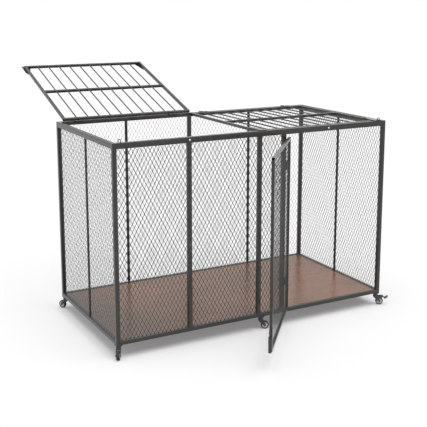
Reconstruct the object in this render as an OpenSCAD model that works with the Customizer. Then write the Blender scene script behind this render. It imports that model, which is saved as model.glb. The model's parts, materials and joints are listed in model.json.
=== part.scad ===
// Heavy duty dog crate on casters: a square tube frame with diamond mesh walls,
// a hinged front door with a drop bolt, and two rod lids hinged along the back.
// The front faces -Y. The origin is on the floor, under the middle of the frame.

/* [Overall] */
// Length along the front, outside the posts
crate_l = 1490; // [1300:10:1800]
// Depth from front to back, outside the posts
crate_d = 755; // [600:5:900]
// Height of the frame without its casters
frame_h = 920; // [750:10:1100]
// Height of a caster, from the floor to the frame
caster_h = 65; // [63:1:80]

/* [Frame] */
// Side of the square frame tube
tube = 20; // [18:1:26]
// Height of the top rails at the front and both ends
rail_h = 27; // [20:1:34]
// Wall of the frame tube
tube_wall = 1.5; // [1:0.1:2.5]
// Width of the thin bars that stiffen the mesh
bar = 14; // [8:1:18]
// Equal bays along the length, an even number
bays = 4; // [4:2:6]
// Clear width of the mesh strip between the centre post and the door jamb
strip_w = 115; // [60:1:200]

/* [Mesh] */
// Width of a mesh diamond
mesh_pitch_w = 80; // [60:1:120]
// Height of a mesh diamond
mesh_pitch_h = 150; // [100:1:200]
// Width of a mesh strand
strand_w = 6.5; // [4:0.5:12]
// Thickness of the mesh
mesh_t = 2; // [1:0.5:4]

/* [Floor] */
// Height of the pan's top above the underside of the frame
pan_level = 17; // [10:0.5:17.5]
// Thickness of the pan's sheet
pan_t = 1.5; // [1:0.1:3]

/* [Leaves] */
// Side of the square tube of the lids and the door
leaf_tube = 14; // [9:0.5:18]
// Wall of that tube
leaf_wall = 1.2; // [0.8:0.1:2]

/* [Lids] */
// Round rods across each lid
lid_rods = 10; // [6:1:14]
// Diameter of a rod
rod_d = 7; // [4:0.5:9]
// Gap between a lid and the end rail beside it
lid_side_gap = 11; // [4:0.5:20]
// Gap between the two lids
lid_mid_gap = 4; // [2:0.5:10]
// Gap between a lid and the front rail
lid_front_gap = 8; // [4:0.5:15]
// How far a closed lid stands above the frame's top
lid_rise = 0.3; // [0.2:0.1:1]
// Angle of the open left lid, from closed
lid_open = 161.5; // [120:0.5:165]

/* [Lid fittings] */
// Thickness of a lid's corner plate
plate_t = 3; // [2:0.5:5]
// Leg of a corner plate along the free edge
plate_leg_x = 36; // [28:1:60]
// Leg of a corner plate along the side tube
plate_leg_y = 90; // [50:1:140]
// How far an outer corner plate stands out past its lid
plate_out = 8; // [7:0.5:12]
// How far a corner plate laps onto the front rail
plate_lap = 14; // [12:0.5:17]
// Wire of the staples that the outer plates drop over
staple_wire = 4; // [3:0.5:5]
// Height of a staple above the rail
staple_h = 16; // [14:0.5:30]
// Distance between the legs of a staple
staple_span = 12; // [9:0.5:14]

/* [Hinges] */
// Gap between a leaf and what carries it, with the hinge line in its middle
hinge_gap = 10; // [9:0.5:14]
// Diameter of a hinge pin
pin_d = 5; // [3:0.5:5.5]
// Length of a hinge knuckle
knuckle_l = 22; // [16:1:40]
// Distance of a lid's hinges from its ends
lid_hinge_inset = 80; // [50:5:200]
// Distance of the door's hinges from its top and bottom
door_hinge_inset = 140; // [80:5:250]

/* [Door] */
// Angle of the open door, from closed
door_open = 130.5; // [60:0.5:160]
// Gap under the closed door
door_bottom_gap = 4; // [3:0.5:10]
// Gap over the closed door
door_top_gap = 11; // [6:0.5:30]
// Gap between the closed door and the corner post
door_free_gap = 4; // [2:0.5:10]
// Diameter of the drop bolt
bolt_d = 8; // [6:0.5:9]
// Outer diameter of the drop bolt's guide
guide_d = 15; // [13:0.5:18]
// Length of the guide
guide_l = 72; // [40:1:120]
// How far the bolt drops into the sill
bolt_drop = 14; // [8:1:18]
// How far the bolt reaches below the door when it is lifted
bolt_tip = 2; // [1:0.5:2.5]

/* [Casters] */
// Distance of a caster's swivel from the outer faces of the frame
caster_inset = 14; // [11:0.5:25]
// How far the middle casters stand to the right of the middle
middle_shift = 19; // [-30:1:30]
// Diameter of a caster wheel
wheel_d = 40; // [34:1:42]
// Width of a caster wheel
wheel_w = 15; // [10:0.5:18]
// Diameter of a wheel's hub
hub_d = 27; // [18:0.5:30]
// Diameter of a wheel's axle
axle_d = 6; // [4:0.5:8]
// Distance from the swivel to the axle
trail = 20; // [12:0.5:24]
// Thickness of a fork's legs
fork_t = 2.2; // [1.5:0.1:4]
// Diameter of the pin that a fork swivels on
kingpin_d = 8; // [6:0.5:10]

/* [Fasteners] */
// Diameter of the screw heads on the front rail
screw_d = 10; // [8:0.5:14]
// Height of a screw head
screw_h = 3; // [2:0.5:4]
// How far the right screw stands past its bay
screw_shift = 18; // [0:1:30]

/* [Hidden] */
$fn = 48;

// Finishes
frame_colour = "#403f3c";
leaf_colour = "#4a4946";
mesh_colour = "#5a5955";
rod_colour = "#6c6b67";
pan_colour = "#79706b";
zinc_colour = "#c6c6c2";
fork_colour = "#3a3a3a";
wheel_colour = "#2b2b2c";

// How far cuts run past a face
overrun = 1;
// Radial clearance of a pin or shaft that turns or slides in its bore
running_clear = 0.05;
// Clearance between pieces that move past each other
moving_clear = 0.5;

// Frame: half sizes and levels
half_l = crate_l / 2;
half_d = crate_d / 2;
sill_z = caster_h + tube;
head_z = caster_h + frame_h - rail_h;
top_z = caster_h + frame_h;
bay_l = crate_l / bays;
mesh_in = tube / 2;
bar_d = tube - mesh_in - mesh_t;
post_h = head_z - sill_z;
back_head_z = top_z - tube;
back_post_h = back_head_z - sill_z;
end_clear = crate_d - 2 * tube;
side_clear = crate_l - 2 * tube;
jamb_x = tube / 2 + strip_w;

// Lids, drawn closed from their hinge line
lid_w = half_l - tube - lid_side_gap - lid_mid_gap / 2;
lid_depth = end_clear - hinge_gap - lid_front_gap;
left_lid_x = -half_l + tube + lid_side_gap;
right_lid_x = lid_mid_gap / 2;
lid_hinge_y = half_d - tube - hinge_gap / 2;
lid_free_y = -hinge_gap / 2 - lid_depth;
lid_low = lid_rise - leaf_tube;
lid_inner_w = lid_w - 2 * leaf_tube;
rod_step = lid_inner_w / (lid_rods + 1);
rod_l = lid_depth - 2 * leaf_tube;
rod_clear = 0.1;
plate_shoulder_share = 0.65;
slot_clear = 1.5;
staple_in = plate_lap / 2;
staple_x = (plate_leg_x - plate_out) / 4;
staple_y = tube - staple_in;
stop_gap = 1;
stop_d = 10;
stop_clear = 0.25;
lid_web = leaf_tube / 2;

// Hinge knuckles
knuckle_d = hinge_gap - 2 * moving_clear;
pin_l = knuckle_l - 2 * moving_clear;
knuckle_end = 0.3;

// Door, drawn closed from its hinge line
door_x = jamb_x + tube + hinge_gap / 2;
door_reach = half_l - tube - door_free_gap - door_x;
door_low = sill_z + door_bottom_gap;
door_high = head_z - door_top_gap;
door_inset = (tube - leaf_tube) / 2;
door_web = door_inset + leaf_tube / 2;
guide_bite = 1;
stile_edge = door_reach - guide_d + guide_bite;
door_w = stile_edge - hinge_gap / 2;
guide_shift = 2.6;
bolt_x = stile_edge + guide_d / 2 - guide_bite;
bolt_y = tube / 2 - guide_shift;
bolt_clear = 0.08;
collar_h = 5;
collar_step = 1.5;
collar_d = bolt_d + 2 * collar_step;
bolt_head = 14;
bolt_point = 1.5;
strike_clear = 0.6;
guide_top = door_low + guide_l;

// Casters
mount_t = 3;
kingpin_short = 1;
swivel_gap = 0.8;
crown_h = 18;
crown_d = 24;
bridge_t = 3;
fork_gap = 1.2;
axle_end = 2;
eye_d = 11;
tyre_edge = 2.5;
hood_gap = 1.2;
hub_step = 0.5;
leg_in = wheel_w / 2 + fork_gap;
leg_out = leg_in + fork_t;
crown_top = caster_h - mount_t - swivel_gap;
crown_low = crown_top - crown_h;
bridge_top = crown_low + bridge_t;
axle_z = wheel_d / 2;
// Side of each caster along the length and the depth, and the way its fork trails
caster_side_shares = [[-1, -1], [0, -1], [1, -1], [-1, 1], [0, 1], [1, 1]];
caster_turn = [242, 332, 332, 120, 20, 340];

// Brake pedal of the front right caster, from the swivel line
pedal_pin_d = 4;
pedal_barrel_d = 9;
pedal_x = trail + wheel_d / 4;
pedal_rise_share = 0.6;
pedal_z = axle_z + wheel_d * pedal_rise_share;
pedal_t = 7.5;
pedal_l = 34;
pedal_shoe = 5.7;
pedal_eye_d = 10;
pedal_side_clear = 0.6;
// Outline of the pedal's bent strip, as shares of its length
pedal_shares = [[0, 0.13], [0.25, 0.19], [0.56, -0.15], [1, 0.15]];

// Square tube along Z from its low corner, open at both ends or capped at its top
module tube_z(length, side, wall, capped = false) {
    bore = side - 2 * wall;
    bore_top = capped ? length - wall : length + overrun;
    difference() {
        cube([side, side, length]);
        translate([wall, wall, -overrun])
            cube([bore, bore, bore_top + overrun]);
    }
}

// Tube along X from its low corner
module tube_x(length, depth, height, wall) {
    difference() {
        cube([length, depth, height]);
        translate([-overrun, wall, wall])
            cube([length + 2 * overrun, depth - 2 * wall, height - 2 * wall]);
    }
}

// Tube along Y from its low corner
module tube_y(length, width, height, wall) {
    difference() {
        cube([width, length, height]);
        translate([wall, -overrun, wall])
            cube([width - 2 * wall, length + 2 * overrun, height - 2 * wall]);
    }
}

// Flat diamond mesh that fills an opening of w by h in X and Y.
// Whole diamonds fit along both sides, so every strand ends on the frame round it.
module diamond_net(w, h) {
    cols = max(1, round(w / mesh_pitch_w));
    rows = max(1, round(h / mesh_pitch_h));
    half_w = w / cols / 2;
    half_h = h / rows / 2;
    side_dist = half_w * half_h / norm([half_w, half_h]);
    open_share = 1 - strand_w / 2 / side_dist;
    a = half_w * open_share;
    b = half_h * open_share;
    linear_extrude(mesh_t)
        difference() {
            square([w, h]);
            for (i = [0 : 2 * cols])
                for (j = [i % 2 : 2 : 2 * rows])
                    translate([i * half_w, j * half_h])
                        polygon([[a, 0], [0, b], [-a, 0], [0, -b]]);
        }
}

// Mesh standing in the X direction, with its low front corner at the origin
module mesh_x(w, h) {
    translate([0, mesh_t, 0])
        rotate([90, 0, 0])
            diamond_net(w, h);
}

// Mesh standing in the Y direction, with its low corner at the origin
module mesh_y(w, h) {
    rotate([90, 0, 90])
        diamond_net(w, h);
}

// Fixed half of a hinge on its line along Z: a knuckle with its pin and a weld web towards -X
module pintle(web) {
    translate([0, 0, -knuckle_l])
        cylinder(d = knuckle_d, h = knuckle_l);
    cylinder(d = pin_d, h = pin_l);
    translate([-hinge_gap / 2, 0, -knuckle_l])
        cube([hinge_gap / 2, web, knuckle_l]);
}

// Moving half of a hinge on the same line: a bored knuckle with a weld web towards +X
module socket(web) {
    difference() {
        translate([0, 0, knuckle_end])
            union() {
                cylinder(d = knuckle_d, h = knuckle_l);
                cube([hinge_gap / 2, web, knuckle_l]);
            }
        translate([0, 0, -overrun])
            cylinder(d = pin_d + 2 * running_clear, h = knuckle_l + knuckle_end + 2 * overrun);
    }
}

// Turns a hinge on Z to lie along X, with its fixed side to the back and its webs downwards
module along_x() {
    rotate([-90, 0, 0])
        rotate([0, 90, 0])
            children();
}

// Frame

module corner_post(sx, sy) {
    x = sx < 0 ? -half_l : half_l - tube;
    y = sy < 0 ? -half_d : half_d - tube;
    color(frame_colour)
        translate([x, y, caster_h])
            tube_z(frame_h, tube, tube_wall, true);
}

module corner_post_front_left() {
    corner_post(-1, -1);
}

module corner_post_front_right() {
    corner_post(1, -1);
}

module corner_post_back_left() {
    corner_post(-1, 1);
}

module corner_post_back_right() {
    corner_post(1, 1);
}

module long_rail(y, z, height) {
    color(frame_colour)
        translate([-half_l + tube, y, z])
            tube_x(side_clear, tube, height, tube_wall);
}

module end_rail(x, z, height) {
    color(frame_colour)
        translate([x, -half_d + tube, z])
            tube_y(end_clear, tube, height, tube_wall);
}

// The sill under the door has the hole that the drop bolt falls into
module bottom_rail_front() {
    color(frame_colour)
        difference() {
            long_rail(-half_d, caster_h, tube);
            translate([door_x + bolt_x, -half_d + bolt_y, sill_z - tube_wall - overrun])
                cylinder(d = bolt_d + 2 * strike_clear, h = tube_wall + 2 * overrun);
        }
}

module bottom_rail_back() {
    long_rail(half_d - tube, caster_h, tube);
}

module bottom_rail_left() {
    end_rail(-half_l, caster_h, tube);
}

module bottom_rail_right() {
    end_rail(half_l - tube, caster_h, tube);
}

module top_rail_front() {
    long_rail(-half_d, head_z, rail_h);
}

module top_rail_back() {
    long_rail(half_d - tube, back_head_z, tube);
}

module top_rail_left() {
    end_rail(-half_l, head_z, rail_h);
}

module top_rail_right() {
    end_rail(half_l - tube, head_z, rail_h);
}

module wall_post(x, y, height) {
    color(frame_colour)
        translate([x, y, sill_z])
            tube_z(height, tube, tube_wall);
}

module quarter_post() {
    wall_post(-half_l + bay_l - tube / 2, -half_d, post_h);
}

module centre_post() {
    wall_post(-tube / 2, -half_d, post_h);
}

module door_jamb() {
    wall_post(jamb_x, -half_d, post_h);
}

module back_post() {
    wall_post(-tube / 2, half_d - tube, back_post_h);
}

// Thin bars lie on the inside of the mesh, flush with the tubes
module back_bars() {
    for (x = [-half_l + bay_l, half_l - bay_l])
        color(frame_colour)
            translate([x - bar / 2, half_d - tube, sill_z])
                cube([bar, bar_d, back_post_h]);
}

module left_bar() {
    color(frame_colour)
        translate([-half_l + tube - bar_d, -bar / 2, sill_z])
            cube([bar_d, bar, post_h]);
}

module right_bar() {
    color(frame_colour)
        translate([half_l - tube, -bar / 2, sill_z])
            cube([bar_d, bar, post_h]);
}

// Mesh walls

module front_mesh(x0, x1) {
    color(mesh_colour)
        translate([x0, -half_d + mesh_in, sill_z])
            mesh_x(x1 - x0, post_h);
}

module front_mesh_left() {
    front_mesh(-half_l + tube, -half_l + bay_l - tube / 2);
}

module front_mesh_centre() {
    front_mesh(-half_l + bay_l + tube / 2, -tube / 2);
}

module front_mesh_strip() {
    front_mesh(tube / 2, jamb_x);
}

module back_mesh(x0, x1) {
    color(mesh_colour)
        translate([x0, half_d - mesh_in - mesh_t, sill_z])
            mesh_x(x1 - x0, back_post_h);
}

module back_mesh_left() {
    back_mesh(-half_l + tube, -tube / 2);
}

module back_mesh_right() {
    back_mesh(tube / 2, half_l - tube);
}

module left_mesh() {
    color(mesh_colour)
        translate([-half_l + mesh_in, -half_d + tube, sill_z])
            mesh_y(end_clear, post_h);
}

module right_mesh() {
    color(mesh_colour)
        translate([half_l - mesh_in - mesh_t, -half_d + tube, sill_z])
            mesh_y(end_clear, post_h);
}

// Floor

module floor_pan() {
    color(pan_colour)
        translate([-half_l + tube, -half_d + tube, caster_h + pan_level - pan_t])
            cube([side_clear, end_clear, pan_t]);
}

// Bearer under the middle of the pan, from the front rail to the back rail
module floor_bearer() {
    height = pan_level - pan_t;
    color(frame_colour)
        translate([-tube / 2, -half_d + tube, caster_h])
            difference() {
                cube([tube, end_clear, height]);
                translate([tube_wall, -overrun, tube_wall])
                    cube([tube - 2 * tube_wall, end_clear + 2 * overrun, height - 2 * tube_wall]);
            }
}

// Fixed hinge and lock pieces

// Places of the two hinges of a lid whose left side is at x0
function lid_hinges(x0) = [x0 + lid_hinge_inset, x0 + lid_w - lid_hinge_inset - knuckle_l];

// Wedge on the back rail that the open lid rests on
module lid_stop() {
    lean = 180 - lid_open;
    y0 = hinge_gap / 2 + stop_gap;
    y1 = y0 + stop_d;
    function stop_z(y) = (y * sin(lean) - lid_rise) / cos(lean) - stop_clear;
    translate([-knuckle_l, 0, 0])
        rotate([90, 0, 90])
            linear_extrude(knuckle_l)
                polygon([[y0, 0], [y1, 0], [y1, stop_z(y1)], [y0, stop_z(y0)]]);
}

module lid_pintles() {
    for (x = concat(lid_hinges(left_lid_x), lid_hinges(right_lid_x)))
        color(frame_colour)
            translate([x, lid_hinge_y, top_z]) {
                along_x()
                    pintle(lid_web);
                lid_stop();
            }
}

// Wire staple that stands on the front rail, with its legs along X
module staple() {
    straight = staple_h - staple_span / 2 - staple_wire / 2;
    for (side = [-1, 1])
        translate([side * staple_span / 2, 0, 0])
            cylinder(d = staple_wire, h = straight);
    translate([0, 0, straight])
        rotate([90, 0, 0])
            rotate_extrude(angle = 180)
                translate([staple_span / 2, 0])
                    circle(d = staple_wire);
}

module lid_staples() {
    for (side = [-1, 1])
        color(frame_colour)
            translate([side * (half_l - tube - lid_side_gap - staple_x), -half_d + staple_y, top_z])
                staple();
}

// Domed screw heads on the face of the front rail, over the quarter bays
module rail_screws() {
    dome_r = (screw_d * screw_d / 4 + screw_h * screw_h) / (2 * screw_h);
    for (x = [-half_l + bay_l, half_l - bay_l + screw_shift])
        color(zinc_colour)
            translate([x, -half_d, head_z + rail_h / 2])
                rotate([90, 0, 0])
                    intersection() {
                        translate([0, 0, screw_h - dome_r])
                            sphere(r = dome_r);
                        cylinder(d = screw_d + overrun, h = screw_h + overrun);
                    }
}

function door_hinges() = [door_low + door_hinge_inset, door_high - door_hinge_inset];

module door_pintles() {
    for (z = door_hinges())
        color(frame_colour)
            translate([door_x, -half_d, z])
                pintle(door_web);
}

// Lids

module in_lid(angle) {
    translate([0, lid_hinge_y, top_z])
        rotate([-angle, 0, 0])
            children();
}

// Rods of a lid, each on its own axis, longer by a clearance where they cut their holes
module rod_row(x0, clear = 0) {
    for (i = [1 : lid_rods])
        translate([x0 + leaf_tube + i * rod_step, lid_free_y + leaf_tube, lid_rise - leaf_tube / 2])
            rotate([-90, 0, 0])
                cylinder(d = rod_d + 2 * clear, h = rod_l);
}

module lid_frame(x0) {
    for (y = [-hinge_gap / 2 - leaf_tube, lid_free_y])
        translate([x0, y, lid_low])
            tube_x(lid_w, leaf_tube, leaf_tube, leaf_wall);
    for (x = [x0, x0 + lid_w - leaf_tube])
        translate([x, lid_free_y + leaf_tube, lid_low])
            tube_y(rod_l, leaf_tube, leaf_tube, leaf_wall);
    difference() {
        translate([x0 + leaf_tube, lid_free_y + lid_depth / 2 - leaf_tube / 2, lid_low])
            tube_x(lid_inner_w, leaf_tube, leaf_tube, leaf_wall);
        rod_row(x0, rod_clear);
    }
}

// Corner plate over the free corner of a lid, with its slot if it drops over a staple
module corner_plate(out, slotted) {
    front = -lid_front_gap - plate_lap;
    slot_l = staple_span + staple_wire + 2 * slot_clear;
    slot_w = staple_wire + 2 * slot_clear;
    linear_extrude(plate_t)
        difference() {
            polygon([
                [-out, front],
                [plate_leg_x, front],
                [plate_leg_x, 0],
                [leaf_tube, plate_leg_y],
                [0, plate_leg_y],
                [-out, plate_leg_y * plate_shoulder_share]
            ]);
            if (slotted)
                translate([staple_x - slot_l / 2, front + plate_lap - staple_in - slot_w / 2])
                    square([slot_l, slot_w]);
        }
}

// Plates of a lid: its outer corner is on the left when side is -1
module lid_plates(x0, side) {
    translate([x0, lid_free_y, lid_rise])
        corner_plate(side < 0 ? plate_out : 0, side < 0);
    translate([x0 + lid_w, lid_free_y, lid_rise])
        mirror([1, 0, 0])
            corner_plate(side < 0 ? 0 : plate_out, side > 0);
}

module lid_sockets(x0) {
    for (x = lid_hinges(x0))
        translate([x, 0, 0])
            along_x()
                socket(lid_web);
}

module left_lid_frame() {
    color(leaf_colour)
        in_lid(lid_open)
            lid_frame(left_lid_x);
}

module left_lid_rods() {
    color(rod_colour)
        in_lid(lid_open)
            rod_row(left_lid_x);
}

module left_lid_plates() {
    color(leaf_colour)
        in_lid(lid_open)
            lid_plates(left_lid_x, -1);
}

module left_lid_sockets() {
    color(leaf_colour)
        in_lid(lid_open)
            lid_sockets(left_lid_x);
}

module right_lid_frame() {
    color(leaf_colour)
        in_lid(0)
            lid_frame(right_lid_x);
}

module right_lid_rods() {
    color(rod_colour)
        in_lid(0)
            rod_row(right_lid_x);
}

module right_lid_plates() {
    color(leaf_colour)
        in_lid(0)
            lid_plates(right_lid_x, 1);
}

module right_lid_sockets() {
    color(leaf_colour)
        in_lid(0)
            lid_sockets(right_lid_x);
}

// Door

module in_door() {
    translate([door_x, -half_d, 0])
        rotate([0, 0, -door_open])
            children();
}

// Rails run the full width of the door and the stiles stand between them
module door_frame() {
    stile_h = door_high - door_low - 2 * leaf_tube;
    color(leaf_colour)
        in_door() {
            for (z = [door_low, door_high - leaf_tube])
                translate([hinge_gap / 2, door_inset, z])
                    tube_x(door_w, leaf_tube, leaf_tube, leaf_wall);
            for (x = [hinge_gap / 2, stile_edge - leaf_tube])
                translate([x, door_inset, door_low + leaf_tube])
                    tube_z(stile_h, leaf_tube, leaf_wall);
        }
}

module door_mesh() {
    color(mesh_colour)
        in_door()
            translate([
                hinge_gap / 2 + leaf_tube,
                door_inset + leaf_tube / 2 - mesh_t / 2,
                door_low + leaf_tube
            ])
                mesh_x(door_w - 2 * leaf_tube, door_high - door_low - 2 * leaf_tube);
}

module door_sockets() {
    for (z = door_hinges())
        color(leaf_colour)
            in_door()
                translate([0, 0, z])
                    socket(door_web);
}

// Guide of the drop bolt, with a flat where it is welded to the free stile
module bolt_guide() {
    color(leaf_colour)
        in_door()
            difference() {
                translate([bolt_x, bolt_y, door_low])
                    cylinder(d = guide_d, h = guide_l);
                translate([bolt_x, bolt_y, door_low - overrun])
                    cylinder(d = bolt_d + 2 * bolt_clear, h = guide_l + 2 * overrun);
                translate([stile_edge - guide_d, bolt_y - guide_d, door_low - overrun])
                    cube([guide_d, 2 * guide_d, guide_l + 2 * overrun]);
            }
}

// Drop bolt in its lifted place, with a collar that lands on the guide when it drops
module drop_bolt() {
    tip = door_low - bolt_tip;
    collar_z = guide_top + bolt_drop + moving_clear;
    color(zinc_colour)
        in_door()
            translate([bolt_x, bolt_y, 0]) {
                translate([0, 0, tip])
                    cylinder(d1 = bolt_d - 2 * bolt_point, d2 = bolt_d, h = bolt_point);
                translate([0, 0, tip + bolt_point])
                    cylinder(d = bolt_d, h = collar_z + collar_h + bolt_head - tip - bolt_point);
                translate([0, 0, collar_z])
                    cylinder(d = collar_d, h = collar_h);
            }
}

// Casters

module at_caster(i) {
    place = caster_side_shares[i];
    x = place[0] == 0 ? middle_shift : place[0] * (half_l - caster_inset);
    translate([x, place[1] * (half_d - caster_inset), 0])
        children();
}

// Plate under each post or rail, with the pin that its fork swivels on
module caster_mounts() {
    for (i = [0 : len(caster_side_shares) - 1])
        color(fork_colour)
            at_caster(i) {
                translate([-caster_inset, -caster_inset, caster_h - mount_t])
                    cube([2 * caster_inset, 2 * caster_inset, mount_t]);
                translate([0, 0, crown_low + kingpin_short])
                    cylinder(d = kingpin_d, h = caster_h - crown_low - kingpin_short);
            }
}

// One leg of a fork in the plane of the wheel, leaning back from the crown to the axle
module leg_outline(braked) {
    eye_r = eye_d / 2;
    polygon([
        [-crown_d / 2, bridge_top],
        [-crown_d / 2, crown_low],
        [trail - eye_r, axle_z],
        [trail + eye_r, axle_z],
        [crown_d / 2, bridge_top]
    ]);
    translate([trail, axle_z])
        circle(d = eye_d);
    if (braked) {
        polygon([
            [0, bridge_top],
            [crown_d / 2, axle_z + eye_d],
            [pedal_x, pedal_z - pedal_eye_d / 2],
            [pedal_x, pedal_z + pedal_eye_d / 2],
            [crown_d / 2, bridge_top]
        ]);
        translate([pedal_x, pedal_z])
            circle(d = pedal_eye_d);
    }
}

// Section of the hood that joins the legs over the wheel, inside their outline
module hood_outline() {
    inner_r = wheel_d / 2 + hood_gap;
    intersection() {
        leg_outline(false);
        translate([trail, axle_z])
            difference() {
                circle(r = inner_r + fork_t);
                circle(r = inner_r);
            }
    }
}

// Pin across the fork, from outside one leg to outside the other
module cross_pin(d, x, z, reach) {
    translate([x, reach, z])
        rotate([90, 0, 0])
            cylinder(d = d, h = 2 * reach);
}

module fork(i, braked = false) {
    color(fork_colour)
        at_caster(i)
            rotate([0, 0, caster_turn[i]]) {
                difference() {
                    union() {
                        translate([0, 0, crown_low])
                            cylinder(d = crown_d, h = crown_h);
                        translate([-crown_d / 2, -leg_out, crown_low])
                            cube([crown_d, 2 * leg_out, bridge_t]);
                        for (side = [-1, 1])
                            translate([0, side < 0 ? -leg_in : leg_out, 0])
                                rotate([90, 0, 0])
                                    linear_extrude(fork_t)
                                        leg_outline(braked);
                        translate([0, leg_out, 0])
                            rotate([90, 0, 0])
                                linear_extrude(2 * leg_out)
                                    hood_outline();
                        cross_pin(axle_d, trail, axle_z, leg_out + axle_end);
                        if (braked)
                            cross_pin(pedal_pin_d, pedal_x, pedal_z, leg_out + axle_end / 2);
                    }
                    translate([0, 0, crown_low - overrun])
                        cylinder(d = kingpin_d + 2 * running_clear, h = crown_h + 2 * overrun);
                }
            }
}

// A wheel: a moulded tyre on a hub that is bored for the axle
module wheel(i) {
    r = wheel_d / 2;
    half_w = wheel_w / 2;
    bore_r = axle_d / 2 + running_clear;
    hub_r = hub_d / 2;
    hub_half = half_w - hub_step;
    at_caster(i)
        rotate([0, 0, caster_turn[i]])
            translate([trail, 0, axle_z])
                rotate([90, 0, 0]) {
                    color(wheel_colour)
                        rotate_extrude()
                            polygon([
                                [hub_r, -half_w],
                                [r - tyre_edge, -half_w],
                                [r, -half_w + tyre_edge],
                                [r, half_w - tyre_edge],
                                [r - tyre_edge, half_w],
                                [hub_r, half_w]
                            ]);
                    color(rod_colour)
                        rotate_extrude()
                            translate([bore_r, -hub_half])
                                square([hub_r - bore_r, 2 * hub_half]);
                }
}

module fork_front_left() {
    fork(0);
}

module fork_front_middle() {
    fork(1);
}

module fork_front_right() {
    fork(2, true);
}

module fork_back_left() {
    fork(3);
}

module fork_back_middle() {
    fork(4);
}

module fork_back_right() {
    fork(5);
}

module wheel_front_left() {
    wheel(0);
}

module wheel_front_middle() {
    wheel(1);
}

module wheel_front_right() {
    wheel(2);
}

module wheel_back_left() {
    wheel(3);
}

module wheel_back_middle() {
    wheel(4);
}

module wheel_back_right() {
    wheel(5);
}

// Pedal of the brake: a bent strip on a bored barrel, with a short shoe towards the tyre
module brake_pedal() {
    half_w = leg_in - pedal_side_clear;
    strip = [for (p = pedal_shares) pedal_l * p];
    under = [for (k = [len(strip) - 1 : -1 : 0]) strip[k] - [0, pedal_t]];
    color(fork_colour)
        at_caster(2)
            rotate([0, 0, caster_turn[2]])
                translate([pedal_x, half_w, pedal_z])
                    rotate([90, 0, 0])
                        difference() {
                            union() {
                                cylinder(d = pedal_barrel_d, h = 2 * half_w);
                                linear_extrude(2 * half_w)
                                    polygon(concat(strip, under));
                                translate([0, -pedal_shoe, 0])
                                    cube([pedal_t, pedal_shoe, 2 * half_w]);
                            }
                            translate([0, 0, -overrun])
                                cylinder(d = pedal_pin_d + 2 * running_clear, h = 2 * half_w + 2 * overrun);
                        }
}

corner_post_front_left();
corner_post_front_right();
corner_post_back_left();
corner_post_back_right();
bottom_rail_front();
bottom_rail_back();
bottom_rail_left();
bottom_rail_right();
top_rail_front();
top_rail_back();
top_rail_left();
top_rail_right();
quarter_post();
centre_post();
door_jamb();
back_post();
back_bars();
left_bar();
right_bar();
front_mesh_left();
front_mesh_centre();
front_mesh_strip();
back_mesh_left();
back_mesh_right();
left_mesh();
right_mesh();
floor_pan();
floor_bearer();
caster_mounts();
lid_pintles();
lid_staples();
rail_screws();
door_pintles();
left_lid_frame();
left_lid_rods();
left_lid_plates();
left_lid_sockets();
right_lid_frame();
right_lid_rods();
right_lid_plates();
right_lid_sockets();
door_frame();
door_mesh();
door_sockets();
bolt_guide();
drop_bolt();
fork_front_left();
fork_front_middle();
fork_front_right();
fork_back_left();
fork_back_middle();
fork_back_right();
wheel_front_left();
wheel_front_middle();
wheel_front_right();
wheel_back_left();
wheel_back_middle();
wheel_back_right();
brake_pedal();
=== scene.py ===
"""Heavy duty dog crate: rounded tubes, expanded mesh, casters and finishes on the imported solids."""
import json
import math

import bmesh
import bpy
import numpy as np
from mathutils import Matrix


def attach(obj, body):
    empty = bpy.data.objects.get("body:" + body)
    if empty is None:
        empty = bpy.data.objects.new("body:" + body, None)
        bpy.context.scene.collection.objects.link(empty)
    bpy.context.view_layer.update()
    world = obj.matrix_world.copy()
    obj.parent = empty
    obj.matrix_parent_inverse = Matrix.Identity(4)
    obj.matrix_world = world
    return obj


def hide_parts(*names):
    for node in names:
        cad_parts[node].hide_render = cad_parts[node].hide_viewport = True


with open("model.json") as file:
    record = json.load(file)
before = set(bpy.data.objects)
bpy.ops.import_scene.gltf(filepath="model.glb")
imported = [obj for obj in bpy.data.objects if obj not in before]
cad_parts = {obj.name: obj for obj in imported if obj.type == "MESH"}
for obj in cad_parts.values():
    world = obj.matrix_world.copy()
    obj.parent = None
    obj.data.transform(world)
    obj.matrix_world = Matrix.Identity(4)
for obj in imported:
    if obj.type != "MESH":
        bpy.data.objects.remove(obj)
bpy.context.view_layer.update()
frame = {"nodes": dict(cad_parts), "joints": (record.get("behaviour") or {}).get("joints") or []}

NODES = frame["nodes"]
JOINTS = {joint["name"]: joint for joint in frame["joints"]}
MM = 0.001


# Camera of the photograph, in millimetres from the frame's origin and in degrees
IMAGE_SIDE = 427
SENSOR_MM = 36.0
FOCAL_PIXELS = 856.96
AXIS_ROW_PIXEL = 160.0
CAMERA_PLACE_MM = (-2086.58, -3759.77, 1598.0)
CAMERA_YAW = 28.47
CAMERA_PITCH = 10.72


# Studio: levels at which 1 lights a white surface to white
DOME_LEVEL = 0.5
DOME_LEFT = 0.4
DOME_BACK = 0.1
LAMP_LEVEL = 1.0
LAMP_SPREAD = 60.0
LAMP_FROM = (0.1, -0.24, 0.95)
FLOOR_ALBEDO = (0.57, 0.57, 0.57, 1)
FLOOR_BOUNCE = (0.5, 0.5, 0.5, 1)
FLOOR_GLOW = (0.2, 0.2, 0.2, 1)
UNLIT = (0, 0, 0, 1)


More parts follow.
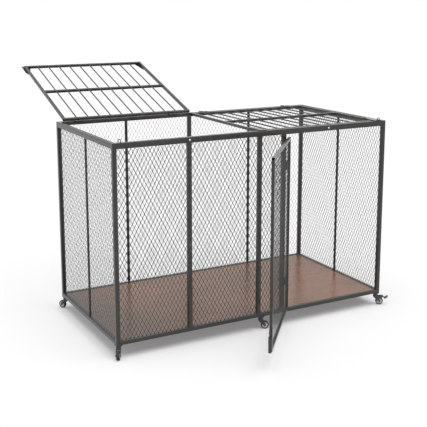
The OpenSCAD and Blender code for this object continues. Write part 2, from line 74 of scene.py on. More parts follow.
# Sizes that only the looks have, in millimetres
TUBE_CORNER_MM = 2.6
TUBE_WALL_MM = 1.5
LEAF_CORNER_MM = 2.0
LEAF_WALL_MM = 1.2
SET_BACK_MM = 0.05
DIAMOND_WIDTH_MM = 20.4
DIAMOND_HEIGHT_MM = 37.6
NET_STRANDS_MM = {"front": 2.2, "left": 1.4, "right": 1.8, "back": 0.9, "door": 1.9}
STRAND_GAUGE_MM = 0.7
STRAND_STEP_MM = 0.1
BOND_SHARE = 0.14
WELD_RADIUS_MM = 1.7
WELD_RIPPLE_MM = 2.6
WELD_INSET_MM = 1.2
LEAF_WELD_INSET_MM = 0.8
WELD_SIDES = 6
WELD_STEPS_PER_MM, WELD_LEAST_STEPS = 2.4, 9
WELD_RIPPLE_SHARE = 0.14
WELD_TAPER, WELD_END_SHARE = 7, 0.25
COLLAR_REACH_MM = np.array([0.0, 0.7, 1.6, 2.6])
COLLAR_SWELL_MM = np.array([1.3, 1.05, 0.45, 0.0])
TUBE_EASE_MM = 0.3
LEAST_BORE_CORNER_MM = 0.2
PAN_WAVE_MM = 0.45
PAN_ROWS, PAN_COLUMNS = 75, 39
PAN_TURNS, PAN_STARTS = (9, 6), (0.7, 1.9)
STRIKE_RADIUS_MM = 4.6
EASE_MM = 0.35
PLATE_EASE_MM = 0.6
EASE_STEPS = 2
ROD_SIDES, HOLE_SIDES, HUB_SIDES, TYRE_SIDES = 12, 32, 40, 48


# Limits in degrees and metres, for shading and for points that count as one
SMOOTH_BELOW = 38.0
EASE_ABOVE = 40.0
SAME_POINT = 1e-6
NO_AREA = 1e-7
SOLID_SEAM = 1e-5
FLOOR_REACH = 60.0


# Shapes

def rotation(axis, degrees):
    """3 by 3 matrix of a right-hand turn about a unit axis, by Rodrigues' formula."""
    x, y, z = axis
    cross = np.array([[0, -z, y], [z, 0, -x], [-y, x, 0]], float)
    angle = math.radians(degrees)
    return np.eye(3) + math.sin(angle) * cross + (1 - math.cos(angle)) * cross @ cross


class Leaf:
    """A hinged body that is drawn shut and then turned to where it rests."""

    def __init__(self, joint_name, shut_degrees):
        joint = JOINTS[joint_name]
        self.pivot = np.array(joint["pos_m"], float)
        self.turn = rotation(joint["axis"], -shut_degrees)

    def at_rest(self, points):
        """Points of the shut body, turned about the hinge to the rest pose."""
        return (points - self.pivot) @ self.turn.T + self.pivot

    def shut(self, points):
        """Points of the resting body, turned back to where they are when it is shut."""
        return (points - self.pivot) @ self.turn + self.pivot


class Still:
    """A body that needs no turning."""

    @staticmethod
    def at_rest(points):
        return points

    @staticmethod
    def shut(points):
        return points


LEFT_LID = Leaf("left_lid_hinge", JOINTS["left_lid_hinge"]["range_deg"][1])
DOOR = Leaf("door_hinge", JOINTS["door_hinge"]["range_deg"][1])
FIXED = Still()


def node_points(node):
    """The vertices of a solid as an array."""
    mesh = NODES[node].data
    points = np.empty(len(mesh.vertices) * 3)
    mesh.vertices.foreach_get("co", points)
    return points.reshape(-1, 3)


def shut_box(node, leaf=FIXED):
    """Lowest and highest corner of a solid when its body is shut."""
    points = leaf.shut(node_points(node))
    return points.min(0), points.max(0)


def grid_faces(rows, columns, wrap_rows=False):
    """Quads of a grid of rows by columns points, closed round each row and, if asked, round all rows."""
    row_ends = rows if wrap_rows else rows - 1
    i, j = np.meshgrid(np.arange(row_ends), np.arange(columns), indexing="ij")
    below, beside = (i + 1) % rows, (j + 1) % columns
    corners = [i * columns + j, below * columns + j, below * columns + beside, i * columns + beside]
    return np.stack(corners, -1).reshape(-1, 4)


def joined(shapes):
    """One array of points and one of quads from several shapes."""
    starts = np.cumsum([0] + [len(points) for points, _ in shapes])
    points = np.concatenate([points for points, _ in shapes])
    quads = np.concatenate([faces + start for (_, faces), start in zip(shapes, starts)])
    return points, quads


def rounded_square(width, height, corner, steps=4):
    """Closed outline in two axes: four quarter circles of radius corner about the inset corners."""
    turn = np.linspace(0, math.pi / 2, steps + 1)
    starts = np.arange(4) * math.pi / 2
    angle = (starts[:, None] + turn[None, :]).ravel()
    signs = np.repeat(np.array([[1, 1], [-1, 1], [-1, -1], [1, -1]]), steps + 1, axis=0)
    middle = signs * (np.array([width, height]) / 2 - corner)
    return middle + corner * np.stack([np.cos(angle), np.sin(angle)], -1)


def along(axis, stations, outlines):
    """Outlines (stations, points, 2) set on stations of one axis, with the other two axes in cyclic order."""
    count = outlines.shape[1]
    points = np.empty(outlines.shape[:2] + (3,))
    points[..., axis] = np.repeat(np.asarray(stations, float)[:, None], count, axis=1)
    points[..., (axis + 1) % 3] = outlines[..., 0]
    points[..., (axis + 2) % 3] = outlines[..., 1]
    return points.reshape(-1, 3)


def tube(low, high, axis, corner_mm, wall_mm, shut_end=False):
    """Square tube with round corners: its outline runs out along the outside and back along the bore.

    The rings are the outer outline at both ends and the bore's outline at both ends, joined in a loop.
    A shut end has a floor one wall in from its far end in place of the bore's mouth.
    """
    low, high = np.asarray(low, float), np.asarray(high, float)
    second, third = (axis + 1) % 3, (axis + 2) % 3
    centre = (low + high) / 2
    width, height = high[second] - low[second], high[third] - low[third]
    wall, corner, edge = wall_mm * MM, corner_mm * MM, TUBE_EASE_MM * MM
    outer = rounded_square(width, height, corner)
    eased = rounded_square(width - 2 * edge, height - 2 * edge, corner - edge)
    bore_corner = max(corner - wall, LEAST_BORE_CORNER_MM * MM)
    bore = rounded_square(width - 2 * wall, height - 2 * wall, bore_corner)
    start, end = low[axis], high[axis]
    rings = [(bore, start), (eased, start), (outer, start + edge), (outer, end - edge), (eased, end)]
    if shut_end:
        rings += [(eased * 0.5, end), (eased * 0, end), (bore * 0, end - wall), (bore * 0.5, end - wall)]
        rings += [(bore, end - wall)]
    else:
        rings += [(bore, end)]
    outlines = np.stack([outline for outline, _ in rings])
    outlines = outlines + np.array([centre[second], centre[third]])
    points = along(axis, [place for _, place in rings], outlines)
    return points, grid_faces(len(rings), outlines.shape[1], wrap_rows=True)


def swept(path, radius, sides):
    """Round bead with shut ends: at each point of the path, a circle of its radius square to the tangent."""
    path = np.asarray(path, float)
    tangent = np.gradient(path, axis=0)
    tangent /= np.linalg.norm(tangent, axis=1, keepdims=True)
    helper = np.where(np.abs(tangent[:, 2:3]) < 0.8, np.array([[0.0, 0, 1]]), np.array([[1.0, 0, 0]]))
    side = np.cross(helper, tangent)
    side /= np.linalg.norm(side, axis=1, keepdims=True)
    rise = np.cross(tangent, side)
    angle = np.arange(sides) * 2 * math.pi / sides
    radius = np.asarray(radius)[:, None, None]
    ring = np.cos(angle)[None, :, None] * side[:, None] + np.sin(angle)[None, :, None] * rise[:, None]
    points = path[:, None] + radius * ring
    first, last = (np.repeat(path[end][None], sides, 0)[None] for end in (0, -1))
    points = np.concatenate([first, points, last])
    return points.reshape(-1, 3), grid_faces(len(path) + 2, sides)


def turned(profile, place, axis, sides):
    """Lathe: the profile's (radius, distance along the axis) points carried round the axis through place."""
    axis = np.asarray(axis, float) / np.linalg.norm(axis)
    helper = np.array([0.0, 0, 1]) if abs(axis[2]) < 0.8 else np.array([1.0, 0, 0])
    side = np.cross(helper, axis)
    side /= np.linalg.norm(side)
    rise = np.cross(axis, side)
    angle = np.arange(sides) * 2 * math.pi / sides
    ring = np.cos(angle)[:, None] * side + np.sin(angle)[:, None] * rise
    radius, reach = np.asarray(profile, float).T
    points = np.asarray(place) + radius[:, None, None] * ring + reach[:, None, None] * axis
    return points.reshape(-1, 3), grid_faces(len(profile), sides)


def expanded_net(low, high, strand_mm, leaf=FIXED):
    """Expanded metal that fills a flat panel: upright zigzag ribbons that meet their neighbours at the bonds.

    Ribbon k stands at (k + 1/2) steps. Its sideways place is a trapezoid wave of the height, flat over each
    bond, and neighbours are half a wave apart. Its depth follows the same wave, so each strand steps through
    the sheet.
    """
    size = high - low
    thin = int(np.argmin(size))
    across, up = (1 - thin, 2)
    width, height = size[across], size[up]
    ribbons = 2 * max(1, round(width / (DIAMOND_WIDTH_MM * MM)))
    waves = max(1, round(height / (DIAMOND_HEIGHT_MM * MM)))
    step = width / ribbons
    strand = strand_mm * MM
    stations = np.arange(4 * waves + 1)
    phase = stations // 4 + np.array([0, BOND_SHARE, 0.5, 0.5 + BOND_SHARE])[stations % 4] - BOND_SHARE / 2
    rise = np.clip(phase / waves, 0, 1) * height
    wave = np.array([1.0, 1.0, -1.0, -1.0])[stations % 4]
    ribbon = np.arange(ribbons)
    turn = np.where(ribbon % 2 == 0, 1.0, -1.0)[:, None] * wave[None, :]
    sideways = (ribbon + 0.5)[:, None] * step + turn * (step - strand) / 2
    depth = -turn * STRAND_STEP_MM * MM
    half, gauge, tilt = strand / 2, STRAND_GAUGE_MM * MM / 2, STRAND_STEP_MM * MM
    far, near = gauge + tilt, gauge - tilt
    section = np.array([[-half, -near], [half, -far], [half, near], [-half, far]])
    points = np.empty((ribbons, len(stations), 4, 3))
    middle = (low[thin] + high[thin]) / 2
    points[..., across] = low[across] + sideways[..., None] + section[:, 0]
    points[..., thin] = middle + depth[..., None] + section[:, 1]
    points[..., up] = low[up] + rise[None, :, None]
    quads = grid_faces(len(stations), 4)
    last = (len(stations) - 1) * 4
    quads = np.concatenate([quads, [[0, 1, 2, 3], [last + 3, last + 2, last + 1, last]]])
    quads = (quads[None] + (np.arange(ribbons) * len(stations) * 4)[:, None, None]).reshape(-1, 4)
    return leaf.at_rest(points.reshape(-1, 3)), quads


def piece(name, shape, finish, body, stands_for=(), smooth=True):
    """A new object from points and quads, with its normals turned outwards, riding on a body."""
    points, quads = shape
    mesh = bpy.data.meshes.new(name)
    mesh.from_pydata(points, [], quads.tolist())
    clean(mesh)
    mesh.materials.append(finish)
    mesh.polygons.foreach_set("use_smooth", np.full(len(mesh.polygons), smooth))
    if smooth:
        mesh.set_sharp_from_angle(angle=math.radians(SMOOTH_BELOW))
    made = bpy.data.objects.new(name, mesh)
    bpy.context.scene.collection.objects.link(made)
    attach(made, body)
    if stands_for:
        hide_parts(*stands_for)
    return made


def drilled(made, place, radius):
    """Cuts an upright round hole through a piece at a place and keeps the cut mesh."""
    reach = 2 * radius
    profile = [(0, -reach), (radius, -reach), (radius, reach), (0, reach)]
    points, quads = turned(profile, place, (0, 0, 1), HOLE_SIDES)
    mesh = bpy.data.meshes.new("drill")
    mesh.from_pydata(points, [], quads.tolist())
    clean(mesh)
    drill = bpy.data.objects.new("drill", mesh)
    bpy.context.scene.collection.objects.link(drill)
    cut = made.modifiers.new("cut", "BOOLEAN")
    cut.object = drill
    made.data = bpy.data.meshes.new_from_object(made.evaluated_get(bpy.context.evaluated_depsgraph_get()))
    made.modifiers.clear()
    bpy.data.objects.remove(drill)


def clean(mesh):
    """Merges points that lie on each other, drops faces with no area and turns normals outwards."""
    work = bmesh.new()
    work.from_mesh(mesh)
    bmesh.ops.remove_doubles(work, verts=work.verts, dist=SAME_POINT)
    bmesh.ops.dissolve_degenerate(work, edges=work.edges, dist=NO_AREA)
    bmesh.ops.recalc_face_normals(work, faces=work.faces)
    work.to_mesh(mesh)
    work.free()


# Finishes

def paint(red, green, blue):
    """Linear colour of a screen colour that is given from 0 to 255."""
    share = np.array([red, green, blue]) / 255
    linear = np.where(share <= 0.04045, share / 12.92, ((share + 0.055) / 1.055) ** 2.4)
    return (*linear.tolist(), 1.0)


class Value:
    """A socket that takes part in Python sums: each operator adds one Math node."""

    def __init__(self, tree, socket):
        self.tree, self.socket = tree, socket

    def maths(self, operation, first, second):
        return self.tree.node("ShaderNodeMath", {"operation": operation}, {0: first, 1: second})

    def __add__(self, other):
        return self.maths("ADD", self, other)

    def __radd__(self, other):
        return self.maths("ADD", other, self)

    def __sub__(self, other):
        return self.maths("SUBTRACT", self, other)

    def __rsub__(self, other):
        return self.maths("SUBTRACT", other, self)

    def __mul__(self, other):
        return self.maths("MULTIPLY", self, other)

    def __rmul__(self, other):
        return self.maths("MULTIPLY", other, self)

    def between(self, low, high):
        """0 at low and below, 1 at high and above, and straight in between."""
        return self.tree.node("ShaderNodeMapRange", {}, {"Value": self, "From Min": low, "From Max": high})


class Tree:
    """A node tree with one method that adds any node."""

    def __init__(self, node_tree):
        self.made = node_tree

    def node(self, kind, settings=(), inputs=(), output=0):
        """Adds a node, sets its settings, then sets or links its inputs, and gives one output."""
        node = self.made.nodes.new(kind)
        for name, value in dict(settings).items():
            setattr(node, name, value)
        for name, value in dict(inputs).items():
            if isinstance(value, Value):
                self.made.links.new(value.socket, node.inputs[name])
            else:
                node.inputs[name].default_value = value
        return Value(self, node.outputs[output])

    def colours(self, share, first, second):
        """Colour that goes from first to second as share goes from 0 to 1."""
        return self.node("ShaderNodeMix", {"data_type": "RGBA"}, {0: share, 6: first, 7: second}, output=2)

    def shown_rays(self):
        """1 for rays that show the studio itself, to the camera or in gloss and glass, and 0 for light."""
        rays = ("Is Camera Ray", "Is Glossy Ray", "Is Transmission Ray")
        camera, gloss, glass = (self.node("ShaderNodeLightPath", output=name) for name in rays)
        return (camera + gloss + glass).between(0, 1)


class Finish(Tree):
    """A material whose patterns lie on the object's own coordinates, in metres."""

    def __init__(self, name, constants=()):
        self.material = bpy.data.materials.new(name)
        self.material.use_nodes = True
        super().__init__(self.material.node_tree)
        self.shader = self.made.nodes["Principled BSDF"]
        for socket, value in dict(constants).items():
            self.shader.inputs[socket].default_value = value
        self.place = self.node("ShaderNodeTexCoord", output="Object")

    def noise(self, per_metre, detail=2.0, stretch=(1, 1, 1)):
        """Cloudy noise from 0 to 1, that many clouds to the metre, drawn out along an axis by stretch."""
        place = self.place
        if stretch != (1, 1, 1):
            place = self.node("ShaderNodeMapping", {}, {"Vector": self.place, "Scale": stretch})
        return self.node("ShaderNodeTexNoise", {}, {"Vector": place, "Scale": per_metre, "Detail": detail})

    def bump(self, height, depth_mm, strength):
        """Normal of a surface that rises by height times a depth."""
        relief = {"Height": height, "Distance": depth_mm * MM, "Strength": strength}
        return self.node("ShaderNodeBump", {}, relief)

    def feed(self, **sockets):
        """Links values to the shader's sockets, whose names are written with _ for a space."""
        for name, value in sockets.items():
            self.made.links.new(value.socket, self.shader.inputs[name.replace("_", " ")])
        return self.material


def stoved_coat(name, tone, pale, scuffed, roughness):
    """Powder coat: orange-peel bumps of 1.5 mm, cloudy tone and gloss, and sparse pale scuffs."""
    finish = Finish(name, {"Specular IOR Level": 0.5, "IOR": 1.5})
    cloud = finish.noise(7.0, 3.0)
    peel = finish.noise(650.0, 2.0)
    rubbed = finish.noise(26.0, 4.0).between(0.62, 0.74) * finish.noise(420.0, 3.0).between(0.45, 0.7)
    colour = finish.colours(cloud.between(0.3, 0.7), tone, pale)
    colour = finish.colours(peel.between(0.35, 0.75) * 0.25, colour, pale)
    colour = finish.colours(rubbed * 0.55, colour, scuffed)
    gloss = roughness + 0.16 * (cloud - 0.5) + 0.1 * (peel - 0.5) + 0.15 * rubbed
    return finish.feed(Base_Color=colour, Roughness=gloss, Normal=finish.bump(peel, 0.12, 0.5))


def pan_coat(name, left_end):
    """Rolled sheet in a brown-grey coat: clouds, faint marks along it, orange peel and painted shade that
    darkens and greys its left end.
    """
    finish = Finish(name, {"Specular IOR Level": 0.45, "IOR": 1.5})
    cloud = finish.noise(2.6, 4.0)
    rolled = finish.noise(34.0, 3.0, (0.06, 1, 1))
    peel = finish.noise(420.0, 2.0)
    trodden = finish.noise(11.0, 5.0).between(0.54, 0.78)
    colour = finish.colours(cloud.between(0.32, 0.68), paint(102, 74, 57), paint(125, 88, 68))
    colour = finish.colours(rolled.between(0.35, 0.75) * 0.35, colour, paint(82, 68, 60))
    colour = finish.colours(trodden * 0.3, colour, paint(138, 120, 111))
    # Painted shade: the sheet's colour turns darker and greyer towards its left end, over 0.02 to 0.3 m from
    # that end.
    from_left = finish.node("ShaderNodeSeparateXYZ", {}, {0: finish.place}, output="X") - left_end
    colour = finish.colours(0.75 * (1 - from_left.between(0.02, 0.3)), colour, paint(82, 73, 67))
    gloss = 0.16 + 0.14 * rolled + 0.22 * trodden + 0.06 * (peel - 0.5)
    return finish.feed(Base_Color=colour, Roughness=gloss, Normal=finish.bump(peel + rolled, 0.1, 0.4))


def zinc_plate(name):
    """Bright zinc plate: small crystals of slightly different greys and a cloudy satin gloss."""
    finish = Finish(name, {"IOR": 1.5, "Metallic": 1.0})
    spread = {"Vector": finish.place, "Scale": 420.0}
    crystal = finish.node("ShaderNodeTexVoronoi", {}, spread, output="Distance")
    cloud = finish.noise(160.0, 3.0)
    colour = finish.colours(cloud.between(0.3, 0.7), paint(196, 196, 192), paint(226, 226, 224))
    colour = finish.colours(crystal.between(0.2, 0.9) * 0.4, colour, paint(170, 171, 170))
    return finish.feed(Base_Color=colour, Roughness=0.24 + 0.2 * cloud, Normal=finish.bump(cloud, 0.05, 0.4))


def tyre_rubber(name):
    """Moulded rubber: matt, nearly black, with dust in a fine grain."""
    finish = Finish(name, {"Specular IOR Level": 0.35, "IOR": 1.52})
    grain = finish.noise(1100.0, 2.0)
    dust = finish.noise(90.0, 4.0).between(0.45, 0.8)
    colour = finish.colours(grain.between(0.3, 0.7), paint(38, 38, 39), paint(52, 52, 52))
    colour = finish.colours(dust * 0.4, colour, paint(92, 90, 86))
    return finish.feed(Base_Color=colour, Roughness=0.66 + 0.2 * dust, Normal=finish.bump(grain, 0.15, 0.5))


def hub_plastic(name):
    """Moulded grey hub: fine grain, slightly cloudy, with a satin gloss."""
    finish = Finish(name, {"Specular IOR Level": 0.5, "IOR": 1.49})
    grain = finish.noise(900.0, 2.0)
    cloud = finish.noise(60.0, 3.0)
    colour = finish.colours(cloud.between(0.3, 0.7), paint(186, 186, 184), paint(208, 208, 206))
    return finish.feed(Base_Color=colour, Roughness=0.36 + 0.16 * cloud, Normal=finish.bump(grain, 0.06, 0.4))


BAR_COAT = stoved_coat("bar_coat", paint(14, 13, 13), paint(20, 19, 19), paint(104, 102, 98), 0.5)
FRAME_COAT = stoved_coat("frame_coat", paint(40, 39, 37), paint(48, 47, 45), paint(132, 130, 124), 0.25)
LEAF_COAT = stoved_coat("leaf_coat", paint(43, 42, 40), paint(52, 50, 48), paint(134, 131, 125), 0.2)
NET_COAT = stoved_coat("net_coat", paint(40, 39, 38), paint(49, 48, 46), paint(128, 126, 120), 0.44)
ROD_COAT = stoved_coat("rod_coat", paint(46, 45, 44), paint(57, 56, 54), paint(120, 118, 113), 0.44)
CASTER_COAT = stoved_coat("caster_coat", paint(44, 44, 44), paint(58, 58, 57), paint(140, 139, 135), 0.38)
PAN_COAT = pan_coat("pan_coat", shut_box("floor_pan")[0][0])
ZINC = zinc_plate("zinc_plate")
TYRE = tyre_rubber("tyre_rubber")
HUB = hub_plastic("hub_plastic")


# Frame

def long_axis(low, high):
    """Axis along which a box is longest."""
    return int(np.argmax(np.asarray(high) - np.asarray(low)))


def bead(start, end):
    """Weld bead: a round cord from start to end, rippled along its length and thinner at both ends."""
    start, end = np.asarray(start, float), np.asarray(end, float)
    length = np.linalg.norm(end - start)
    share = np.linspace(0, 1, max(WELD_LEAST_STEPS, int(length / MM * WELD_STEPS_PER_MM)))
    wave = np.cos(2 * math.pi * share * length / (WELD_RIPPLE_MM * MM))
    ripple = 1 - WELD_RIPPLE_SHARE + WELD_RIPPLE_SHARE * wave
    ends = np.clip(np.minimum(share, 1 - share) * WELD_TAPER, WELD_END_SHARE, 1) ** 0.5
    path = start + share[:, None] * (end - start)
    return swept(path, WELD_RADIUS_MM * MM * ripple * ends, WELD_SIDES)


def edge_beads(low, high, axis, side_axes, inset_mm=WELD_INSET_MM):
    """Beads on both ends of a straight member, along each side that looks along one of side_axes.

    side_axes holds pairs of an axis and a sign. The bead runs along the third axis, on the end face's edge.
    """
    low, high = np.asarray(low, float), np.asarray(high, float)
    made = []
    for end in (low[axis], high[axis]):
        for side, sign in side_axes:
            run = 3 - axis - side
            place = np.zeros((2, 3))
            place[:, axis] = end
            place[:, side] = high[side] if sign > 0 else low[side]
            place[:, run] = low[run] + inset_mm * MM, high[run] - inset_mm * MM
            made.append(bead(place[0], place[1]))
    return made


def butted(low, high, axis, corner_mm):
    """Box of a member that runs into round-cornered neighbours, a hair inside their faces."""
    reach = np.full(3, -SET_BACK_MM * MM)
    reach[axis] = corner_mm * MM
    return low - reach, high + reach


POSTS = [node for node in NODES if node.startswith("corner_post")]
RAILS = [node for node in NODES if node.startswith(("bottom_rail", "top_rail"))]
UPRIGHTS = ["quarter_post", "centre_post", "door_jamb", "back_post"]
BARS = ["left_bar", "right_bar"]
NETS = [node for node in NODES if "_mesh" in node and not node.startswith("door")]

frame_welds = []
for node in POSTS + RAILS + UPRIGHTS + ["floor_bearer"]:
    low, high = shut_box(node)
    axis = long_axis(low, high)
    ends = (low, high) if node in POSTS else butted(low, high, axis, TUBE_CORNER_MM)
    shape = tube(*ends, axis, TUBE_CORNER_MM, TUBE_WALL_MM, shut_end=node in POSTS)
    made = piece(node + "_tube", shape, FRAME_COAT, "crate", [node])
    if node == "bottom_rail_front":
        bolt = DOOR.shut(node_points("drop_bolt"))
        tip = bolt[bolt[:, 2] < bolt[:, 2].min() + 0.1 * MM].mean(0)
        drilled(made, [tip[0], tip[1], high[2]], STRIKE_RADIUS_MM * MM)
    if node.startswith("top_rail"):
        frame_welds += edge_beads(low, high, axis, [(2, -1)])
    elif node.startswith("bottom_rail"):
        frame_welds += edge_beads(low, high, axis, [(2, 1)])
    elif node in UPRIGHTS:
        frame_welds += edge_beads(low, high, axis, [(0, -1), (0, 1)])


def bar_boxes(node):
    """Boxes of the separate bars in a node, told apart by the gap between them along X."""
    points = node_points(node)
    left = points[:, 0] < points[:, 0].mean()
    return [(part.min(0), part.max(0)) for part in (points[left], points[~left])]


for node, boxes in [(node, [shut_box(node)]) for node in BARS] + [("back_bars", bar_boxes("back_bars"))]:
    shapes = []
    for low, high in boxes:
        shapes.append(tube(*butted(low, high, 2, TUBE_CORNER_MM), 2, LEAF_CORNER_MM, LEAF_WALL_MM))
        thin = 1 if node == "back_bars" else 0
        frame_welds += edge_beads(low, high, 2, [(1 - thin, -1), (1 - thin, 1)])
    piece(node + "_strips", joined(shapes), BAR_COAT, "crate", [node])

for node in NETS:
    net = expanded_net(*shut_box(node), NET_STRANDS_MM[node.split("_")[0]])
    piece(node + "_net", net, NET_COAT, "crate", [node], smooth=False)

piece("frame_welds", joined(frame_welds), FRAME_COAT, "crate")


def sheet_pan(low, high):
    """Closed sheet: rings of a long flat outline along X. Top and bottom share a gentle wave of both axes."""
    length, depth, gauge = high - low
    along_share = np.concatenate([[0], np.linspace(0, 1, PAN_ROWS), [1]])
    across = np.linspace(0, 1, PAN_COLUMNS)
    around = np.concatenate([across, across[::-1]])
    x = low[0] + along_share[:, None] * length
    y = low[1] + around[None, :] * depth
    calm = np.sin(math.pi * along_share)[:, None] * np.sin(math.pi * around)[None, :]
    lengthwise = np.sin(PAN_TURNS[0] * along_share + PAN_STARTS[0])
    crosswise = np.sin(PAN_TURNS[1] * around + PAN_STARTS[1])
    wave = lengthwise[:, None] * crosswise[None, :] - 1
    lift = PAN_WAVE_MM * MM * calm * wave
    half = np.where(np.arange(len(around)) < len(across), gauge, 0.0)[None, :]
    shut = np.isin(np.arange(len(along_share)), [0, len(along_share) - 1])[:, None]
    z = low[2] + np.where(shut, gauge / 2, half) + lift
    points = np.stack(np.broadcast_arrays(x, y, z), -1)
    return points.reshape(-1, 3), grid_faces(len(along_share), len(around))


piece("floor_sheet", sheet_pan(*shut_box("floor_pan")), PAN_COAT, "crate", ["floor_pan"])


# Lids and door

def rod(start, end, radius, collars):
    """Round rod, lathed about its axis, with a small weld collar where it meets each tube."""
    start, end = np.asarray(start, float), np.asarray(end, float)
    length = np.linalg.norm(end - start)
    stations = [0.0]
    radii = [0.0]
    for place, facing in collars:
        order = slice(None, None, facing)
        stations += (place + facing * COLLAR_REACH_MM[order] * MM).tolist()
        radii += (radius + COLLAR_SWELL_MM[order] * MM).tolist()
    stations.append(length)
    radii.append(0.0)
    return turned(np.stack([radii, stations], -1), start, end - start, ROD_SIDES)


def rested(shapes, leaf):
    """One shape from several that are drawn shut, turned to rest."""
    points, quads = joined(shapes)
    return leaf.at_rest(points), quads


def lid(side, leaf):
    """Frame, bar, rods and welds of one lid, drawn shut and turned to rest."""
    body = side + "_lid"
    low, high = shut_box(body + "_frame", leaf)
    rods_low, rods_high = shut_box(body + "_rods", leaf)
    thick = high[2] - low[2]
    inner_low, inner_high = low + [thick, thick, 0], high - [thick, thick, 0]
    middle = (low[1] + high[1]) / 2
    tubes, welds = [], []
    for y in (low[1], high[1] - thick):
        ends = [low[0], y, low[2]], [high[0], y + thick, high[2]]
        tubes.append(tube(*ends, 0, LEAF_CORNER_MM, LEAF_WALL_MM))
    for x in (low[0], high[0] - thick):
        ends = np.array([[x, inner_low[1], low[2]], [x + thick, inner_high[1], high[2]]])
        tubes.append(tube(*butted(*ends, 1, LEAF_CORNER_MM), 1, LEAF_CORNER_MM, LEAF_WALL_MM))
        welds += edge_beads(*ends, 1, [(0, 1 if x == low[0] else -1)], LEAF_WELD_INSET_MM)
    bar = np.array([[inner_low[0], middle - thick / 2, low[2]], [inner_high[0], middle + thick / 2, high[2]]])
    tubes.append(tube(*butted(*bar, 0, LEAF_CORNER_MM), 0, LEAF_CORNER_MM, LEAF_WALL_MM))
    welds += edge_beads(*bar, 0, [(1, -1), (1, 1)], LEAF_WELD_INSET_MM)
    piece(body + "_tubes", rested(tubes, leaf), LEAF_COAT, body, [body + "_frame"])
    piece(body + "_welds", rested(welds, leaf), LEAF_COAT, body)
    radius = (rods_high[2] - rods_low[2]) / 2
    height = (rods_high[2] + rods_low[2]) / 2
    first, last = rods_low[0] + radius, rods_high[0] - radius
    count = 1 + round((last - first) / (first - inner_low[0]))
    length = rods_high[1] - rods_low[1]
    bar_start, bar_end = middle - thick / 2 - rods_low[1], middle + thick / 2 - rods_low[1]
    collars = [(0.0, 1), (bar_start, -1), (bar_end, 1), (length, -1)]
    rods = [rod([x, rods_low[1], height], [x, rods_high[1], height], radius, collars)
            for x in np.linspace(first, last, count)]
    piece(body + "_rod_row", rested(rods, leaf), ROD_COAT, body, [body + "_rods"])


lid("left", LEFT_LID)
lid("right", FIXED)


def door():
    """Frame, net and welds of the door, drawn shut and turned to rest."""
    low, high = shut_box("door_frame", DOOR)
    thick = high[1] - low[1]
    tubes, welds = [], []
    for z in (low[2], high[2] - thick):
        ends = [low[0], low[1], z], [high[0], high[1], z + thick]
        tubes.append(tube(*ends, 0, LEAF_CORNER_MM, LEAF_WALL_MM))
    for x in (low[0], high[0] - thick):
        ends = np.array([[x, low[1], low[2] + thick], [x + thick, high[1], high[2] - thick]])
        tubes.append(tube(*butted(*ends, 2, LEAF_CORNER_MM), 2, LEAF_CORNER_MM, LEAF_WALL_MM))
        welds += edge_beads(*ends, 2, [(0, 1 if x == low[0] else -1)], LEAF_WELD_INSET_MM)
    piece("door_tubes", rested(tubes, DOOR), LEAF_COAT, "door", ["door_frame"])
    piece("door_welds", rested(welds, DOOR), LEAF_COAT, "door")
    net = expanded_net(*shut_box("door_mesh", DOOR), NET_STRANDS_MM["door"], DOOR)
    piece("door_net", net, NET_COAT, "door", ["door_mesh"], smooth=False)


door()


# Casters

CORNERS = [node[len("wheel_"):] for node in NODES if node.startswith("wheel_")]
TYRE_MM = [(13.4, -6.3), (15.5, -7.1), (17.6, -7.5), (19.0, -6.6), (19.8, -4.4), (19.8, -2.5), (19.4, -2.2),
           (19.4, -1.7), (20.0, -1.4), (20.0, 1.4), (19.4, 1.7), (19.4, 2.2), (19.8, 2.5), (19.8, 4.4),
           (19.0, 6.6), (17.6, 7.5), (15.5, 7.1), (13.4, 6.3), (13.4, -6.3)]
HUB_MM = [(3.1, -7.4), (5.4, -7.4), (5.9, -6.9), (6.1, -6.1), (7.0, -5.7), (11.0, -5.7), (11.8, -6.0),
          (12.1, -6.6), (12.8, -6.9), (13.8, -6.5), (13.8, 6.5), (12.8, 6.9), (12.1, 6.6), (11.8, 6.0),
          (11.0, 5.7), (7.0, 5.7), (6.1, 6.1), (5.9, 6.9), (5.4, 7.4), (3.1, 7.4), (3.1, -7.4)]
RACE_MM = [(8.2, -4.2), (12.2, -4.2), (13.1, -3.4), (13.4, -2.0), (13.1, -0.6), (12.0, 0.0), (8.2, 0.0),
           (8.2, -4.2)]


def lathed(profile_mm, place, axis, sides=HUB_SIDES):
    """Lathe of a profile that is written in millimetres."""
    return turned(np.array(profile_mm) * MM, place, axis, sides)


for corner in CORNERS:
    roll, swivel = JOINTS["roll_" + corner], JOINTS["swivel_" + corner]
    roller, caster = roll["child"], swivel["child"]
    tyre = lathed(TYRE_MM, roll["pos_m"], roll["axis"], TYRE_SIDES)
    piece("tyre_" + corner, tyre, TYRE, roller, ["wheel_" + corner])
    piece("hub_" + corner, lathed(HUB_MM, roll["pos_m"], roll["axis"]), HUB, roller)
    crown = np.array([*swivel["pos_m"][:2], shut_box("fork_" + corner)[1][2]])
    piece("race_" + corner, lathed(RACE_MM, crown, swivel["axis"]), CASTER_COAT, caster)


# Solids that keep their own shape

def dress(node, finish, ease_mm=EASE_MM):
    """Gives a solid its finish and eases its sharp edges."""
    solid = NODES[node]
    solid.data.materials.clear()
    solid.data.materials.append(finish)
    join = solid.modifiers.new("join", "WELD")
    join.merge_threshold = SOLID_SEAM
    ease = solid.modifiers.new("ease", "BEVEL")
    ease.width = ease_mm * MM
    ease.segments = EASE_STEPS
    ease.limit_method = "ANGLE"
    ease.angle_limit = math.radians(EASE_ABOVE)
    ease.harden_normals = True


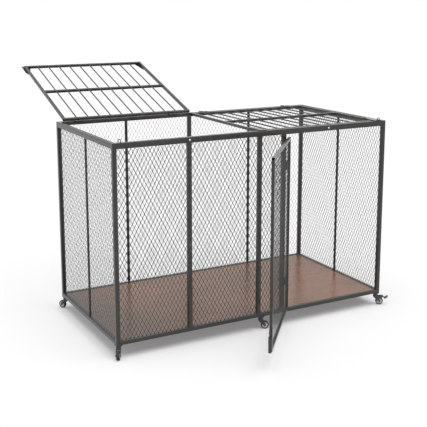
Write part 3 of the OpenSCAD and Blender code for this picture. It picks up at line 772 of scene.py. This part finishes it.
for side in ("left", "right"):
    dress(side + "_lid_plates", LEAF_COAT, PLATE_EASE_MM)
    dress(side + "_lid_sockets", LEAF_COAT)
for node in ("lid_pintles", "door_pintles", "lid_staples"):
    dress(node, FRAME_COAT)
for node in ("door_sockets", "bolt_guide"):
    dress(node, LEAF_COAT)
dress("rail_screws", ZINC)
dress("drop_bolt", CASTER_COAT)
for corner in CORNERS:
    dress("fork_" + corner, CASTER_COAT)
dress("caster_mounts", CASTER_COAT)
dress("brake_pedal", CASTER_COAT)


# Floor, light and camera

def staging():
    """White studio: a floor that keeps the shadow, a dome brightest at the left and back, and one soft lamp.

    What the camera sees past the floor, and what gloss shows, is plain white.
    """
    mesh = bpy.data.meshes.new("studio_floor")
    corners = [(x * FLOOR_REACH, y * FLOOR_REACH, 0) for x, y in ((-1, -1), (1, -1), (1, 1), (-1, 1))]
    mesh.from_pydata(corners, [], [(0, 1, 2, 3)])
    floor = bpy.data.objects.new("studio_floor", mesh)
    bpy.context.scene.collection.objects.link(floor)
    cover = Finish("floor_paper", {"Roughness": 0.9, "Specular IOR Level": 0.0, "Emission Strength": 1.0})
    shown = cover.shown_rays()
    tone = cover.colours(shown, FLOOR_BOUNCE, FLOOR_ALBEDO)
    glow = cover.colours(shown, UNLIT, FLOOR_GLOW)
    mesh.materials.append(cover.feed(Base_Color=tone, Emission_Color=glow))

    world = bpy.data.worlds.new("studio")
    bpy.context.scene.world = world
    world.use_nodes = True
    sky = Tree(world.node_tree)
    aim = sky.node("ShaderNodeTexCoord", output="Generated")
    right, back = (sky.node("ShaderNodeSeparateXYZ", {}, {0: aim}, output=name) for name in ("X", "Y"))
    dome = DOME_LEVEL - DOME_LEFT * right + DOME_BACK * back
    ground = world.node_tree.nodes["Background"]
    ground.inputs["Color"].default_value = (1, 1, 1, 1)
    world.node_tree.links.new((dome + sky.shown_rays() * (1 - dome)).socket, ground.inputs["Strength"])

    light = bpy.data.lights.new("soft_lamp", "SUN")
    light.energy, light.angle = LAMP_LEVEL * math.pi, math.radians(LAMP_SPREAD)
    lamp = bpy.data.objects.new("soft_lamp", light)
    bpy.context.scene.collection.objects.link(lamp)
    flat = math.hypot(LAMP_FROM[0], LAMP_FROM[1])
    lamp.rotation_euler = (math.atan2(flat, LAMP_FROM[2]), 0, math.atan2(LAMP_FROM[0], -LAMP_FROM[1]))


def photographer():
    """The photograph's camera, from its fitted place, turn and focal length."""
    lens = bpy.data.cameras.new("camera")
    lens.sensor_width = SENSOR_MM
    lens.lens = FOCAL_PIXELS / IMAGE_SIDE * SENSOR_MM
    lens.shift_y = (AXIS_ROW_PIXEL - IMAGE_SIDE / 2) / IMAGE_SIDE
    camera = bpy.data.objects.new("camera", lens)
    bpy.context.scene.collection.objects.link(camera)
    camera.location = np.array(CAMERA_PLACE_MM) * MM
    camera.rotation_euler = (math.radians(90 - CAMERA_PITCH), 0, math.radians(-CAMERA_YAW))
    bpy.context.scene.camera = camera


staging()
photographer()
bpy.context.scene.view_settings.view_transform = "Standard"
